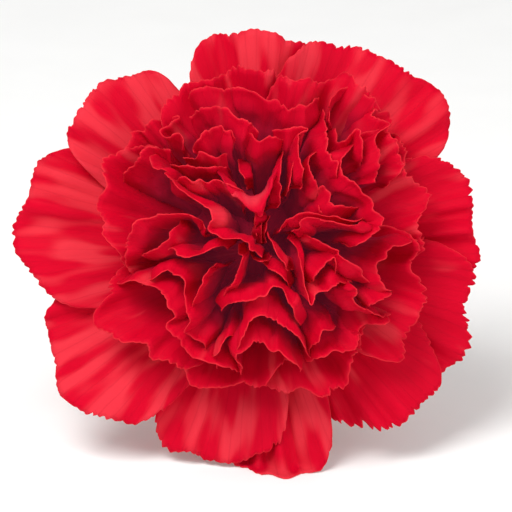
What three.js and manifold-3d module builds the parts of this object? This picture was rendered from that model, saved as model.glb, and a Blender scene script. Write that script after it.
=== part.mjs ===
// A cut carnation lying on a table. The head leans on the rim of its lowest petal and the
// stem on its cut end, so the flower's axis rises towards the open bloom.
//
// Every piece is drawn along the flower's own axis, in millimetres: z runs up the axis from
// the calyx mouth (z = 0), x to the right and y up as one looks straight into the bloom.
// The whole flower is tipped over at the end, so that the bloom faces -Y and a little up.

import * as THREE from 'three';
import { mergeVertices } from 'three/addons/utils/BufferGeometryUtils.js';
import Module from 'manifold-3d';

const wasm = await Module();
wasm.setup();

// ---- driving dimensions -------------------------------------------------------------

const restTilt = THREE.MathUtils.degToRad(20); // between the flower's axis and the table
const mouthHeight = 34;       // calyx mouth above the table
const petalThickness = 0.62;
const clearance = 0.35;       // between pieces that sit against each other
const joinTolerance = 0.02;   // slivers thinner than this are closed where petals join

const headRadius = 31;        // reach of the inner petal layers
const guardSpread = 11;       // how much further the outermost layer reaches
const headHeight = 30;        // rims of the heart petals above the calyx mouth
const foldDepth = 12;         // steep part of a folded petal below its rim
const rimDrop = 4;            // both ends of a folded rim dip this far
const foldedRoot = 0.62;      // where a folded petal leaves the packed dome, along its length
const foldedRows = 2;         // facets from the dome to its rim
const spreadingRows = 2;
const heartLean = [0.85, 2.55]; // how far the middle of the heart stands off the axis
const clawRadius = 5.6;       // bundle of petal claws at the calyx mouth

const calyxLength = 27;
const calyxWall = 0.7;
const calyxTeeth = 5;
const toothLength = 5.5;
const calyxProfile = [[-27, 4.5], [-24, 5.0], [-18, 5.9], [-8, 6.7], [1, 7.1]]; // height, radius

const stemRadius = 2.1;
const nodeDepth = 66;         // swollen joint below the calyx mouth
const nodeRadius = 3.1;
const stemSway = 1.6;         // sideways bend of the cut end
const leafLength = 46;
const leafWidth = 5.2;
const leafThickness = 0.8;

// ---- small helpers ------------------------------------------------------------------

const radians = THREE.MathUtils.degToRad;
const smooth = (from, to, value) => THREE.MathUtils.smoothstep(value, from, to);

// a repeatable number between 0 and 1 for petal n and trait number trait
function spread(n, trait) {
  const wave = Math.sin(n * 12.9898 + trait * 78.233) * 43758.5453;
  return wave - Math.floor(wave);
}

// straight-line reading of a list of [position, value] pairs
function read(pairs, at) {
  let [p0, v0] = pairs[0];
  for (const [p1, v1] of pairs) {
    if (at <= p1) return p1 === p0 ? v1 : v0 + (v1 - v0) * (at - p0) / (p1 - p0);
    [p0, v0] = [p1, v1];
  }
  return v0;
}

// a closed three.js geometry as a solid that can be joined, faces turned outwards
function solid(geometry) {
  geometry.deleteAttribute('normal');
  geometry.deleteAttribute('uv');
  const merged = mergeVertices(geometry, 1e-4);
  const triangles = Uint32Array.from(merged.index.array);
  const corners = Float32Array.from(merged.attributes.position.array);
  const build = () => new wasm.Manifold(
    new wasm.Mesh({ numProp: 3, vertProperties: corners, triVerts: triangles }));
  const made = build();
  if (made.volume() > 0) return made;
  for (let k = 0; k < triangles.length; k += 3) {
    [triangles[k], triangles[k + 1]] = [triangles[k + 1], triangles[k]];
  }
  return build();
}

// Joins solids that grow together. Hollows that the joining seals are filled, because only
// the one outer skin of the joined body is kept.
function grown(solids) {
  const skins = wasm.Manifold.union(solids).simplify(joinTolerance).decompose();
  return skins.reduce((most, skin) => (skin.volume() > most.volume() ? skin : most));
}

function mesh(name, shape, material) {
  const made = shape.getMesh();
  const geometry = new THREE.BufferGeometry();
  geometry.setAttribute('position', new THREE.BufferAttribute(made.vertProperties, 3));
  geometry.setIndex(new THREE.BufferAttribute(made.triVerts, 1));
  const node = new THREE.Mesh(geometry, material);
  node.name = name;
  return node;
}

// A thin sheet of even thickness. point(column, row) gives its middle surface, and both of
// its faces are split into the same triangles. The first row, which is sunk in a neighbour,
// has a point only at every stride-th column.
function sheet(columns, rows, thickness, stride, point) {
  const middle = [];
  for (let row = 0; row <= rows; row++) {
    for (let column = 0; column <= columns; column++) middle.push(point(column, row));
  }
  const at = (column, row) => row * (columns + 1) + column;
  const inside = (value, most) => Math.min(Math.max(value, 0), most);
  const side = middle.length;
  const corners = [];
  for (const sign of [1, -1]) {
    for (let row = 0; row <= rows; row++) {
      for (let column = 0; column <= columns; column++) {
        const across = middle[at(inside(column + 1, columns), row)].clone()
          .sub(middle[at(inside(column - 1, columns), row)]);
        const along = middle[at(column, inside(row + 1, rows))].clone()
          .sub(middle[at(column, inside(row - 1, rows))]);
        const normal = across.cross(along).normalize();
        corners.push(middle[at(column, row)].clone().addScaledVector(normal, sign * thickness / 2));
      }
    }
  }
  const index = [];
  const face = (a, b, c) => index.push(a, b, c, side + a, side + c, side + b);
  const wall = (a, b) => index.push(b, a, side + a, b, side + a, side + b);
  for (let foot = 0; foot < columns; foot += stride) {
    const [a, b, turn] = [at(foot, 0), at(foot + stride, 0), foot + Math.ceil(stride / 2)];
    for (let column = foot; column < foot + stride; column++) {
      face(column < turn ? a : b, at(column + 1, 1), at(column, 1));
    }
    face(a, b, at(turn, 1));
  }
  for (let row = 1; row < rows; row++) {
    for (let column = 0; column < columns; column++) {
      const [a, b] = [at(column, row), at(column + 1, row)];
      const [c, d] = [at(column + 1, row + 1), at(column, row + 1)];
      const shorter = middle[a].distanceTo(middle[c]) < middle[b].distanceTo(middle[d]);
      const [p, q, r, s] = shorter ? [a, b, c, d] : [b, c, d, a];
      face(p, q, r);
      face(p, r, s);
    }
  }
  for (let column = 0; column < columns; column += stride) wall(at(column, 0), at(column + stride, 0));
  for (let column = columns; column > 0; column--) wall(at(column, rows), at(column - 1, rows));
  for (let row = 0; row < rows; row++) {
    wall(at(0, row + 1), at(0, row));
    wall(at(columns, row), at(columns, row + 1));
  }
  const geometry = new THREE.BufferGeometry();
  const position = new THREE.Float32BufferAttribute(corners.flatMap((p) => p.toArray()), 3);
  geometry.setAttribute('position', position);
  geometry.setIndex(index);
  return solid(geometry);
}

// A turned shape about the flower's axis from [radius, height] points, shaped further by
// form(point, angle) if it is given.
function turned(points, segments, form) {
  const geometry = new THREE.LatheGeometry(points.map(([r, z]) => new THREE.Vector2(r, z)), segments);
  geometry.rotateX(Math.PI / 2);
  if (form) {
    const position = geometry.attributes.position;
    const point = new THREE.Vector3();
    for (let k = 0; k < position.count; k++) {
      point.fromBufferAttribute(position, k);
      form(point, Math.atan2(point.y, point.x));
      position.setXYZ(k, point.x, point.y, point.z);
    }
  }
  return solid(geometry);
}

// ---- petals -------------------------------------------------------------------------

// The bloom is a nest of layers from v = 0, the upright heart, to v = 1, the flat guard
// petals. Each leaves the bundle of claws upright and flares outwards near its rim. In the
// four lines below, "out" is a distance from the axis and "up" a height over the calyx mouth.
const clawOut = (v) => 1 + (clawRadius - 1) * v;
const ankleOut = (v) => clawOut(v) + 0.4 * v;
const ankleUp = (v) => 13 - 8.5 * v ** 2;
const rimUp = (v) => headHeight - 9 * v ** 2 - 19 * v ** 6;

// A point of the two spreading tiers: u runs along the layer from the calyx mouth to the rim
// of a full-length petal.
function layerPoint(u, v, angle) {
  const rim = [1 + (headRadius - 1) * v + guardSpread * v ** 8, rimUp(v)];
  const ripple = 20 * Math.sin(3 * angle + 1) + 22 * Math.sin(7 * angle + 2) - 8 * Math.sin(angle);
  const steep = radians(68 - 30 * v - 52 * v ** 5 + 4 * v * (1 - v) * ripple);
  const reach = 9 + 4 * v;
  const flare = [rim[0] - reach * Math.cos(steep), rim[1] - reach * Math.sin(steep)];
  const w = 1 - u;
  const [b0, b1, b2, b3] = [w ** 3, 3 * u * w * w, 3 * u * u * w, u ** 3];
  const radius = b0 * clawOut(v) + b1 * ankleOut(v) + b2 * flare[0] + b3 * rim[0];
  const height = b1 * ankleUp(v) + b2 * flare[1] + b3 * rim[1];
  return new THREE.Vector3(radius * Math.cos(angle), radius * Math.sin(angle), height);
}

// the heart sits a little above the middle of the bloom
function leanHead(p) {
  const lean = smooth(4, 30, p.z);
  p.x += heartLean[0] * lean;
  p.y += heartLean[1] * lean;
  return p;
}

// long waves that lift and drop the spreading petals
function waveOuter(p) {
  const angle = Math.atan2(p.y, p.x);
  const far = smooth(16, 42, Math.hypot(p.x, p.y));
  p.z += far * (1.3 * Math.sin(5 * angle + 0.6) + Math.sin(8 * angle + 2.1) + 0.5 * Math.sin(13 * angle + 1));
  return p;
}

// Petals that would reach below the table bend and lie flat on it, pointing forwards, and
// where two overlap the one nearer the heart lies on top.
const restLayer = 0.972;
const restFloor = 0.15;    // middle of a petal that lies flat
const restStack = 40;      // how much higher each layer lies on the one below
const restBend = 1.2;
function layOnTable(p, layer) {
  const floor = restFloor + restStack * Math.max(0, restLayer - layer);
  const above = p.y * Math.cos(restTilt) + p.z * Math.sin(restTilt) + mouthHeight - floor;
  if (above >= restBend) return p;
  const kept = above <= -restBend ? 0 : (above + restBend) ** 2 / (4 * restBend);
  const lift = kept - above;
  const slide = 0.7 * lift;
  p.y += lift * Math.cos(restTilt) - slide * Math.sin(restTilt);
  p.z += lift * Math.sin(restTilt) + slide * Math.cos(restTilt);
  return p;
}

// The guard petals and the tier above them, placed one by one:
// [angle, half width, layer, length share, depth of the teeth]
const guardPetals = [
  [138, 23, 0.975, 0.99, 0.3], [174, 29, 0.978, 1.035, 0.6], [217, 28, 0.975, 1.03, 0.7],
  [259, 24, 0.975, 0.955, 1.0], [278, 19, 0.975, 1.04, 0.6], [316, 25, 0.975, 0.975, 1.3],
  [342, 23, 0.975, 1.0, 1.2], [11, 23, 0.975, 0.975, 0.8], [54, 31, 0.975, 1.03, 0.8],
  [93, 24, 0.975, 0.96, 0.7],
];
const secondPetals = [
  [106, 30, 0.865, 0.99, 0.7], [64, 29, 0.875, 1, 0.8], [24, 31, 0.86, 0.97, 0.7],
  [340, 31, 0.865, 0.97, 0.8], [300, 32, 0.85, 0.92, 0.7], [259, 33, 0.835, 0.88, 0.6],
  [217, 31, 0.85, 0.96, 0.8], [165, 35, 0.845, 0.96, 0.5],
];

// Inside them every petal is folded in its own way, so its rim is drawn as one sees it from
// the front: [height over its layer, steepness below the rim or 0 for that of its layer,
// bends of the rim as [x, y]]. The smallest petals of the heart are part of the packed dome.
const foldedPetals = [
  [-1, 0, [[-24, 13.4], [-23.6, 15.6], [-21.1, 19.9], [-19.6, 20.4], [-18, 21.4], [-13.1, 22.4],
    [-16.3, 20.1], [-15.3, 18.9], [-13.4, 19.6], [-11.4, 15.5]]],
  [0, 0, [[-24.7, 10.7], [-20.7, 15.1], [-18.7, 17.5], [-15.1, 16.5]]],
  [1.5, 0, [[-16.8, 16.8], [-18, 15.5], [-18.2, 13.8], [-17, 13.1], [-15.8, 13.6], [-15.5, 12.2],
    [-9.7, 7.8], [-8, 5.6], [-8, 2.7], [-2.4, 1], [0.9, -1.4]]],
  [0, 0, [[-22.3, -3.2], [-22.8, -1.2], [-21.9, 2.2], [-20.1, 4.8], [-13.9, 6], [-9.7, 4.9],
    [-8.3, 3.6]]],
  [-0.5, 0, [[-12.8, 5.3], [-15.5, 1.4], [-19.9, -1.2]]],
  [0, 0, [[-15.5, -0.5], [-13.8, 0], [-11.7, -1.2], [-6.6, 0.3], [-4.9, -0.5]]],
  [0, 0, [[-24.7, -4.6], [-23.3, -5.8], [-20.2, -5.4], [-15.1, -8.5], [-14.1, -11.2], [-14.6, -12.6],
    [-11.6, -18], [-3.1, -21.2]]],
  [-1, 0, [[-19.9, -6.3], [-15.1, -4.2], [-12.1, -6], [-11.9, -10.4], [-11.4, -12.4], [-12.1, -14.3],
    [-9.4, -16.2], [-8.5, -19.2]]],
  [1, 0, [[-2.7, -21.6], [-3.4, -18], [1, -16.3], [7.1, -19.9], [7.3, -21.2]]],
  [0.5, 0, [[-4.1, -18.2], [-0.7, -12.1], [2.2, -11.4], [6.6, -14.5], [9.5, -18.5]]],
  [-1, 0, [[-7, -20.6], [-7.1, -18.5], [-5.3, -15.5], [-3.9, -15.1], [-3.2, -16.5]]],
  [0, 0, [[-6, -10.7], [-4.9, -9.7], [1, -8], [3.9, -7.1], [7.5, -13.1]]],
  [0, 0, [[5.3, 1.5], [6.5, -0.2], [8.8, -9.2], [10.5, -7.3], [15.1, -5.6], [16.3, -6]]],
  [0, 0, [[15.1, -4.6], [17, -7.1], [16.7, -8.7], [17.5, -10], [21.1, -11.4], [23, -11.1]]],
  [0, 0, [[26, -10.2], [22.8, -11.7], [22.3, -12.9], [17.7, -13.4], [18, -15], [17.5, -16.2],
    [14.1, -17.7], [8.3, -19.2]]],
  [-0.5, 0, [[13.8, -13.4], [10.5, -14.6], [9, -18.9]]],
  [0, 0, [[29.4, 1.9], [25.8, 1], [21.6, -0.9], [20.7, -3.7], [22.1, -6.8], [23, -7.7], [18.5, -9.9],
    [17.2, -9]]],
  [0.5, 0, [[16.5, 18.5], [14.1, 14.8], [15.5, 11.7], [17.2, 10.5], [21.2, 4.8], [16.7, 0.3],
    [15, 0.7]]],
  [0.3, 0, [[3.7, 2.9], [5.1, 5.4], [10.2, 5.8], [16.2, 4.6], [17.9, 5.1], [19.2, 4.6]]],
  [0.2, 0, [[7.3, 2.6], [12.6, 0.2], [20.2, -6.3]]],
  [-0.5, 0, [[11.4, 16.8], [8.8, 15.5], [10.2, 10.7], [11.6, 10.2], [13.9, 7.5], [17.2, 6.6]]],
  [0, 0, [[-2.4, 19.7], [2.4, 18.7], [5.4, 19.4]]],
  [0.5, 0, [[2.6, 20.1], [8, 20.7], [8.5, 19.9], [7, 18.4], [7.7, 12.6], [7.3, 10.4]]],
  [1, 0, [[-13.1, 25.3], [-8.8, 27.7], [-5.3, 27], [-2.9, 27.5], [6.8, 24.1], [10.7, 25.8]]],
  [1, 0, [[-11.4, 22.3], [-8.3, 24.3], [-3.2, 22.4], [0.2, 19.6]]],
  [1.5, 0, [[12.6, 22.3], [12.8, 24.7], [15.3, 27.7], [21.2, 24.3], [19.9, 23.3], [19.9, 22.3],
    [22.8, 21.2], [20.4, 18.9], [20.9, 14.3], [20.4, 11.4]]],
  [-1, 0, [[13.4, 20.6], [13.9, 18.5], [16.8, 20.1], [17.9, 18.5], [17.5, 13.4]]],
  [-1, 0, [[11.1, 23.6], [11.9, 21.1], [11.7, 18.5], [14.3, 10.9]]],
  [0, 0, [[-10.7, 16.5], [-10.4, 18.2], [-8.5, 20.2], [-6.1, 20.6], [-5.3, 19.9], [-4.2, 19.7],
    [-3.9, 16.8]]],
  [0, 0, [[-12.4, 15.1], [-8.8, 15.8], [-4.9, 15.8]]],
  [0.3, 0, [[-14.5, 14.3], [-8.7, 13.8], [-4.8, 13.8]]],
  [0.5, 0, [[-15.1, 12.2], [-13.8, 11.6], [-12.4, 12.1], [-11.1, 11.6], [-9.7, 12.1], [-8.5, 11.4],
    [-7.1, 11.6], [-2.9, 9.9], [-1.7, 8.2]]],
  [-0.5, 200, [[-4.2, 11.7], [0.3, 5.4], [2.9, 11.1]]],
  [-0.5, 0, [[1.9, 2.6], [4.4, -2.9], [6.8, -3.9]]],
  [0.2, 0, [[-3.2, 0.9], [-3.2, -2.6], [-5.6, -8.3]]],
  [0, 0, [[-6.8, -2.2], [-8.7, -4.1], [-11.2, -10.7]]],
  [0, 0, [[8.3, -6.5], [12.9, -1.7], [13.3, -4.9]]],
  [-1, 0, [[0.2, -2.2], [4.6, -5.3], [5.6, -7]]],
  [-1, 0, [[4.2, 16.8], [4.1, 9.2], [3.2, 7]]],
  [-1, 0, [[10.4, 9], [11.2, 6], [12.4, 5.3]]],
];

const tiers = [
  { petals: guardPetals, slope: 0.02, ruffle: 0.003, round: 0.42, columns: 16 },
  { petals: secondPetals, slope: 0.035, ruffle: 0.016, round: 0.36, columns: 12 },
];

function listPetals() {
  return tiers.flatMap(({ petals, ...shared }) => petals.map(
    ([angle, half, layer, share, teeth]) => ({ angle, half, layer, share, teeth, ...shared })));
}

// where a spreading petal leaves the packed dome, as a share of its length, for its layer
const rootDepth = [[0.8, 0.25], [0.86, 0.22], [0.96, 0.06]];

// One spreading petal: t runs across it from -1 to 1 and s from root to rim. It is narrow at
// its claw, round in outline, toothed at the rim and ruffled between its neighbour layers.
function petal(shape, n) {
  const size = headRadius + 10 * shape.layer ** 8;
  const root = read(rootDepth, shape.layer);
  const waves = [1.6 + 1.6 * spread(n, 6), 3.6 + 2.5 * spread(n, 7)];
  return sheet(shape.columns, spreadingRows, petalThickness, shape.columns / 2, (column, row) => {
    const t = 2 * column / shape.columns - 1;
    const outline = 1 - shape.round + shape.round * Math.sqrt(Math.max(0, 1 - Math.abs(t) ** 2.8))
      + 0.025 * Math.sin(4 * t + 6 * spread(n, 5)) + 0.015 * Math.sin(9 * t + 6 * spread(n, 15));
    const notch = column % 2 ? shape.teeth * 1.3 / size : 0;
    const s = root + (1 - root) * row / spreadingRows;
    const u = s * (shape.share * outline - notch * smooth(0.6, 1, s));
    const fold = (1 - 0.6 * t ** 4) * (Math.sin(Math.PI * waves[0] * t + 2 * Math.PI * spread(n, 8))
      + 0.6 * Math.sin(Math.PI * waves[1] * t + 2 * Math.PI * spread(n, 9)));
    const layer = shape.layer - shape.slope * t + shape.ruffle * u ** 1.5 * fold;
    const angle = radians(shape.angle + shape.half * t * (0.38 + 0.62 * smooth(0.05, 0.6, u)));
    return layOnTable(waveOuter(leanHead(layerPoint(u, layer, angle))), layer);
  });
}

// One petal of the ruffled head. Its rim follows the drawn bends, and its blade hangs from
// them towards the heart, steeper the nearer it is, down to its claw in the packed dome.
function foldedPetal([rise, steepness, bends]) {
  const drawn = bends.map(([x, y]) => new THREE.Vector3(x, y, 0));
  const line = new THREE.CatmullRomCurve3(drawn, false, 'catmullrom', 0.5);
  const heart = new THREE.Vector3(...heartLean, 0);
  const fromHeart = (t) => {
    let hull = drawn;
    while (hull.length > 1) hull = hull.slice(1).map((p, k) => hull[k].clone().lerp(p, t));
    return hull[0].clone().sub(heart);
  };
  const facing = fromHeart(0.5).normalize();
  const columns = 2 * Math.ceil((bends.length - 1) / 2) + (bends.length < 5 ? 2 : 0);
  return sheet(columns, foldedRows, petalThickness, columns / 2, (column, row) => {
    const t = column / columns;
    const out = fromHeart(t);
    const v = THREE.MathUtils.clamp(out.length() / headRadius, 0.05, 1);
    out.normalize();
    const claw = facing.clone().lerp(out, 0.4).normalize();
    const ends = smooth(0, 0.12, t) * smooth(0, 0.12, 1 - t);
    const rim = line.getPoint(t).setZ(rimUp(v) + rise - rimDrop * (1 - ends));
    const steep = radians(steepness || 78 - 25 * v - 55 * v ** 5);
    const knee = rim.clone().addScaledVector(out, -foldDepth * Math.cos(steep));
    knee.z -= foldDepth * Math.sin(steep);
    const ankle = claw.clone().multiplyScalar(ankleOut(v)).setZ(ankleUp(v));
    const foot = claw.clone().multiplyScalar(clawOut(v));
    const u = foldedRoot + (1 - foldedRoot) * row / foldedRows;
    return new THREE.CubicBezierCurve3(foot, ankle, knee, rim).getPoint(u);
  });
}

const calyxRadius = (height) => read(calyxProfile, height);
const clawFit = (height) => calyxRadius(height) - calyxWall - clearance;
const receptacleTop = 1.6 - calyxLength;

// The claws of all petals run down the calyx as one fluted bundle round the pistil.
function clawBundle() {
  const bottom = receptacleTop + clearance;
  const points = [[0, 4], [1.3, 4], [1.3, -11], [2.8, -13], [2.8, bottom], [clawFit(bottom), bottom]];
  for (const height of [-18, -8]) points.push([clawFit(height), height]);
  points.push([clawRadius + 0.2, 0.2], [clawRadius, 4.5], [0, 4.8]);
  const flutes = 14;
  return turned(points, 2 * flutes, (point, angle) => {
    const radius = Math.hypot(point.x, point.y);
    const groove = radius > 3.2 ? 0.94 + 0.06 * Math.cos(flutes * angle) ** 2 : 1;
    point.x *= groove;
    point.y *= groove;
  });
}

// Above the calyx the lower parts of the petals are packed together into one dome.
function packedDome() {
  const profile = [
    [0, 4.2], [5, 4.2], [5.2, 0.9], [6.5, 1.6], [8.8, 4.4], [11, 7.9], [16.5, 11.7], [17.8, 14],
    [8, 19.3], [0, 20.5],
  ];
  return turned(profile, 10);
}

// ---- calyx --------------------------------------------------------------------------

// A green tube with five pointed teeth. Its rows of points run from the base to the
// toothed rim, outside and back down inside.
function calyxTube() {
  const segments = 30;
  const rise = [0, 0.12, 0.35, 0.7, 0.9, 1];
  const outside = rise.map((share) => [1, share]);
  const inside = [1, 0.8, 0.35, 0].map((share) => [0.5, share]);
  const profile = [...outside, ...inside, [1, 0]];
  return turned(profile, segments, (point, angle) => {
    const turn = calyxTeeth * (angle / (2 * Math.PI) - 0.25);
    const tip = Math.abs(((turn % 1) + 1) % 1 - 0.5) * 2;
    const rimHeight = -toothLength * (1 - tip);
    const outer = Math.hypot(point.x, point.y) > 0.75;
    point.z = -calyxLength + (rimHeight + calyxLength) * point.z;
    const radius = calyxRadius(point.z) - (outer ? 0 : calyxWall);
    point.x = radius * Math.cos(angle);
    point.y = radius * Math.sin(angle);
  });
}

// Two pairs of short bracts clasp the base of the tube, the lower pair outermost.
function bract(angle, length, lift) {
  const [columns, rows, halfWidth] = [6, 4, radians(50)];
  return sheet(columns, rows, 0.7, 1, (column, row) => {
    const s = row / rows;
    const t = 2 * column / columns - 1;
    const height = -calyxLength + 0.3 + length * s * (1 - 0.12 * t * t * (1 - s));
    const turn = angle + t * halfWidth * (1 - s) ** 0.6 * (1 - 0.02 * row) + t * 0.04;
    const radius = calyxRadius(height) + lift + 0.7 * s ** 4;
    return new THREE.Vector3(radius * Math.cos(turn), radius * Math.sin(turn), height);
  });
}

// ---- stem, pistil and leaves --------------------------------------------------------

// sideways place of the stem's middle line at a height
const stemBend = (height) => stemSway * smooth(calyxLength + 10, 110, -height);

function stem() {
  const base = -calyxLength - clearance;
  const end = -(mouthHeight - stemRadius * Math.cos(restTilt)) / Math.sin(restTilt);
  const collar = clawFit(base + 1) - 0.1;
  const points = [
    [0, receptacleTop], [collar, receptacleTop], [collar, base], [4.5, base], [4.3, base - 1.2],
    [2.9, base - 3.4], [stemRadius + 0.2, base - 7], [stemRadius, -nodeDepth + 6],
    [stemRadius + 0.1, -nodeDepth + 3], [nodeRadius, -nodeDepth + 0.8], [nodeRadius, -nodeDepth - 1.2],
    [stemRadius, -nodeDepth - 3.4], [stemRadius, end], [0, end],
  ];
  const slant = 0.55; // the cut end leans, its upper edge further out
  return turned(points, 16, (point) => {
    if (point.z < end + clearance) point.z -= slant * (point.y + stemRadius) / 2;
    point.x += stemBend(point.z);
  });
}

function pistil() {
  const foot = receptacleTop + clearance;
  const ovary = turned([
    [0, foot], [1.8, foot], [2.4, foot + 3], [2.4, foot + 7], [1.7, foot + 10], [0.8, foot + 12],
    [0, foot + 12.2],
  ], 12);
  const style = (side) => {
    const line = new THREE.CatmullRomCurve3([
      new THREE.Vector3(0.3 * side, 0, foot + 11), new THREE.Vector3(0.45 * side, 0.15 * side, -6),
      new THREE.Vector3(0.4 * side, -0.1 * side, 3.4),
    ]);
    const round = new THREE.Shape(new THREE.EllipseCurve(0, 0, 0.36, 0.36).getPoints(6));
    return solid(new THREE.ExtrudeGeometry(round, { steps: 6, extrudePath: line }));
  };
  return grown([ovary, style(1), style(-1)]);
}

// A pair of narrow leaves faces each other at the swollen joint, joined by a short sheath.
function leaf(side) {
  const [columns, rows] = [4, 9];
  const [foot, inner] = [-nodeDepth + 3, nodeRadius + clearance + 0.4];
  return sheet(columns, rows, leafThickness, 1, (column, row) => {
    const s = row / rows;
    const t = 2 * column / columns - 1;
    const width = leafWidth * (0.86 + 0.5 * s - 1.3 * s ** 3) * (1 - 0.35 * smooth(0.8, 1, s));
    const out = inner + 15 * s ** 1.5 + 5 * smooth(0.6, 1, s);
    const up = foot + leafLength * (s - 0.14 * s * s) - 4 * smooth(0.7, 1, s);
    const keel = 0.9 * Math.abs(t) ** 1.5 * (1 - 0.6 * s);
    const wave = 0.5 * Math.sin(5 * s + side) * s;
    return new THREE.Vector3(side * (out - keel) + stemBend(up), t * width / 2 + wave, up);
  });
}

function leafPair() {
  const inner = nodeRadius + clearance;
  const foot = -nodeDepth + 1;
  const sheath = turned([
    [inner, foot], [inner + 0.8, foot], [inner + 0.8, foot + 5], [inner, foot + 5], [inner, foot],
  ], 20, (point) => { point.x += stemBend(point.z); });
  return grown([sheath, leaf(1), leaf(-1)]);
}

// ---- the flower ---------------------------------------------------------------------

const finish = (color, roughness) => new THREE.MeshStandardMaterial({ color, roughness, metalness: 0 });
const petalRed = finish('#d3111f', 0.55);
const calyxGreen = finish('#7f9a55', 0.6);
const stemGreen = finish('#7d9767', 0.6);
const leafGreen = finish('#87a184', 0.65);
const pistilGreen = finish('#cfd9a2', 0.5);

const bloom = grown(
  [clawBundle(), packedDome(), ...listPetals().map(petal), ...foldedPetals.map(foldedPetal)]);
const bracts = [[0, 9, 0.1], [180, 9, 0.1], [90, 7.5, 0.55], [270, 7.5, 0.55]];
const calyx = grown(
  [calyxTube(), ...bracts.map(([angle, length, lift]) => bract(radians(angle), length, lift))]);

const flower = new THREE.Group();
flower.add(
  mesh('petals', bloom, petalRed),
  mesh('calyx', calyx, calyxGreen),
  mesh('stem', stem(), stemGreen),
  mesh('leaf_pair', leafPair(), leafGreen),
  mesh('pistil', pistil(), pistilGreen),
);
flower.rotation.x = Math.PI / 2 - restTilt;
flower.position.set(0, 0, mouthHeight);

// the origin lies under the middle of the flower's box, on the table
const carnation = new THREE.Group();
carnation.add(flower);
const middle = new THREE.Box3().setFromObject(carnation, true).getCenter(new THREE.Vector3());
flower.position.x -= middle.x;
flower.position.y -= middle.y;
carnation.updateMatrixWorld(true);

export default carnation;
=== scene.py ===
# %% [markdown]
# # A cut carnation, lying on a table
#
# The real flower is about sixty frilled red petals held by a green tube, the calyx, on a cut stem
# with one pair of leaves. The CAD model gives the size and the place of every piece. This lesson
# puts the finer flower round it: petals as thin as paper, ribs, veins, wax and colour.
#
# Everything is in metres in Blender. The petals are easier to think of in millimetres along the
# flower's own axis, so each piece is drawn there first and then laid on the table.

# %% The frame
import math

import bpy
import numpy as np
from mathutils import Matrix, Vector


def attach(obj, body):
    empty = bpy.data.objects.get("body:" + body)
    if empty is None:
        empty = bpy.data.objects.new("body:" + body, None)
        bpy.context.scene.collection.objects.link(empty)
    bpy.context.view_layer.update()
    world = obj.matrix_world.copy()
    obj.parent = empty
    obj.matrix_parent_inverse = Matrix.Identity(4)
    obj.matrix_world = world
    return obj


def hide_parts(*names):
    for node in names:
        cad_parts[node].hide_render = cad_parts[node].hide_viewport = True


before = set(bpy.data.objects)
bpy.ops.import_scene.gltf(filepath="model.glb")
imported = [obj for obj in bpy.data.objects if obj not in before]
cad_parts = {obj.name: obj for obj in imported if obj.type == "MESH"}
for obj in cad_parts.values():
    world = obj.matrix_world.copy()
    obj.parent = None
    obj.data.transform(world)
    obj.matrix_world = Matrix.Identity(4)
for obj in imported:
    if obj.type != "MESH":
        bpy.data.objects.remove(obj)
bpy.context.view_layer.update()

# %% [markdown]
# ## The flower's own axis
#
# z runs up the axis from the mouth of the calyx, x goes to the right and y up as one looks into
# the bloom. The flower lies with its head tipped up by 20 degrees, so one turn and one move bring
# all of these points to the table. The move is the one that the CAD model was built with.

# %% From the flower's axis to the table
MM = 0.001
TILT = math.radians(20)
MOUTH = 34.0                                   # calyx mouth above the table
FLOWER_AT = np.array([1.805, -29.876, MOUTH])  # calyx mouth in the frame, in millimetres


def on_table(points):
    """Points along the flower's axis, in millimetres, as places in the frame, in metres."""
    x, y, z = points[..., 0], points[..., 1], points[..., 2]
    turned = np.stack([x, y * math.sin(TILT) - z * math.cos(TILT),
                       y * math.cos(TILT) + z * math.sin(TILT)], -1)
    return (turned + FLOWER_AT) * MM


def smooth(low, high, value):
    """0 below low, 1 above high, and an even S between them."""
    share = np.clip((value - low) / (high - low), 0, 1)
    return share * share * (3 - 2 * share)


def spread(number, trait):
    """A number from 0 to 1 that looks random but is the same on every run."""
    return (math.sin(number * 12.9898 + trait * 78.233) * 43758.5453) % 1.0


print("calyx mouth at", on_table(np.zeros(3)).round(4))

# %% [markdown]
# ## Camera, light and table
#
# The photograph looks straight into the bloom, so the camera stands on the flower's axis, far
# enough away that near and far petals keep their sizes. The light is a large soft one from the
# upper left, a wider and weaker one from the right and a bright room round them, which shows the
# satin folds without hard shadows.

# %% The camera
VIEW_FROM = 900.0        # millimetres along the axis
VIEW_WIDTH = 88.6        # millimetres of the flower's plane across the picture
VIEW_MIDDLE = (-0.17, -1.2)  # middle of the picture on that plane

camera_data = bpy.data.cameras.new("camera")
camera_data.sensor_width = 36.0
camera_data.lens = camera_data.sensor_width * VIEW_FROM / VIEW_WIDTH
camera = bpy.data.objects.new("camera", camera_data)
bpy.context.scene.collection.objects.link(camera)
camera.location = on_table(np.array([*VIEW_MIDDLE, VIEW_FROM]))
camera.rotation_euler = (math.pi / 2 - TILT, 0, 0)
bpy.context.scene.camera = camera
bpy.context.scene.view_settings.view_transform = "Standard"
print("camera at", [round(value, 3) for value in camera.location])


# %% The light
ROOM_LIGHT = 0.56      # brightness of the room


def soft_light(name, place, aim, size, power):
    data = bpy.data.lights.new(name, "AREA")
    data.size = size
    data.energy = power
    lamp = bpy.data.objects.new(name, data)
    bpy.context.scene.collection.objects.link(lamp)
    lamp.location = place
    lamp.rotation_euler = (Vector(place) - Vector(aim)).to_track_quat("Z", "Y").to_euler()


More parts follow.
